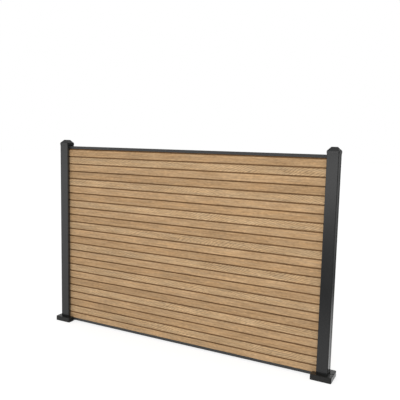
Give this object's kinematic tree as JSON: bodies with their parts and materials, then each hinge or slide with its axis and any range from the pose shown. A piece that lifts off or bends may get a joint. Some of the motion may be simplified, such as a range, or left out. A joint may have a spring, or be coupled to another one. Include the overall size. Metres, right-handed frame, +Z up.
{
  "type": "garden privacy screen",
  "caption": "Garden privacy screen: hollow tongue-and-groove composite boards stacked between slotted aluminium posts, with closing rails, chamfered caps and bolted feet under split covers.",
  "frame": {"origin": "middle of the footprint of the bounding box, on the ground under the middle of the screen", "axes": "+X along the screen, to the right as the front is seen; +Y from the front to the back; +Z up"},
  "size_m": [1.964, 0.119, 1.28],
  "materials": {
    "composite_oak": "matt wood-plastic composite in a light oak tone, brushed lengthwise",
    "powder_coat": "fine matt powder coat, anthracite, on extruded aluminium",
    "rail_coat": "fine matt powder coat, anthracite, on extruded aluminium",
    "cover_plastic": "moulded plastic with a fine grain, anthracite",
    "black_rubber": "matt black rubber",
    "galvanised_steel": "galvanised, dull",
    "stainless_steel": "plain stainless steel"
  },
  "bodies": {
    "root": {"bottom_rail": "rail_coat", "top_rail": "rail_coat", "board_1": "composite_oak", "board_2": "composite_oak", "board_3": "composite_oak", "board_4": "composite_oak", "board_5": "composite_oak", "board_6": "composite_oak", "board_7": "composite_oak", "board_8": "composite_oak", "post_left": "powder_coat", "post_cap_left": "powder_coat", "slot_cover_left": "powder_coat", "foot_plate_left": "galvanised_steel", "base_cover_left_front": "cover_plastic", "base_cover_left_back": "cover_plastic", "slot_seal_left_front": "black_rubber", "slot_seal_left_back": "black_rubber", "rail_pad_left": "black_rubber", "rail_clip_left": "stainless_steel", "rail_clip_screw_left": "stainless_steel", "foot_screw_left_1": "stainless_steel", "foot_screw_left_2": "stainless_steel", "foot_screw_left_3": "stainless_steel", "foot_screw_left_4": "stainless_steel", "post_right": "powder_coat", "post_cap_right": "powder_coat", "slot_cover_right": "powder_coat", "foot_plate_right": "galvanised_steel", "base_cover_right_front": "cover_plastic", "base_cover_right_back": "cover_plastic", "slot_seal_right_front": "black_rubber", "slot_seal_right_back": "black_rubber", "rail_pad_right": "black_rubber", "rail_clip_right": "stainless_steel", "rail_clip_screw_right": "stainless_steel", "foot_screw_right_1": "stainless_steel", "foot_screw_right_2": "stainless_steel", "foot_screw_right_3": "stainless_steel", "foot_screw_right_4": "stainless_steel"}
  },
  "joints": []
}
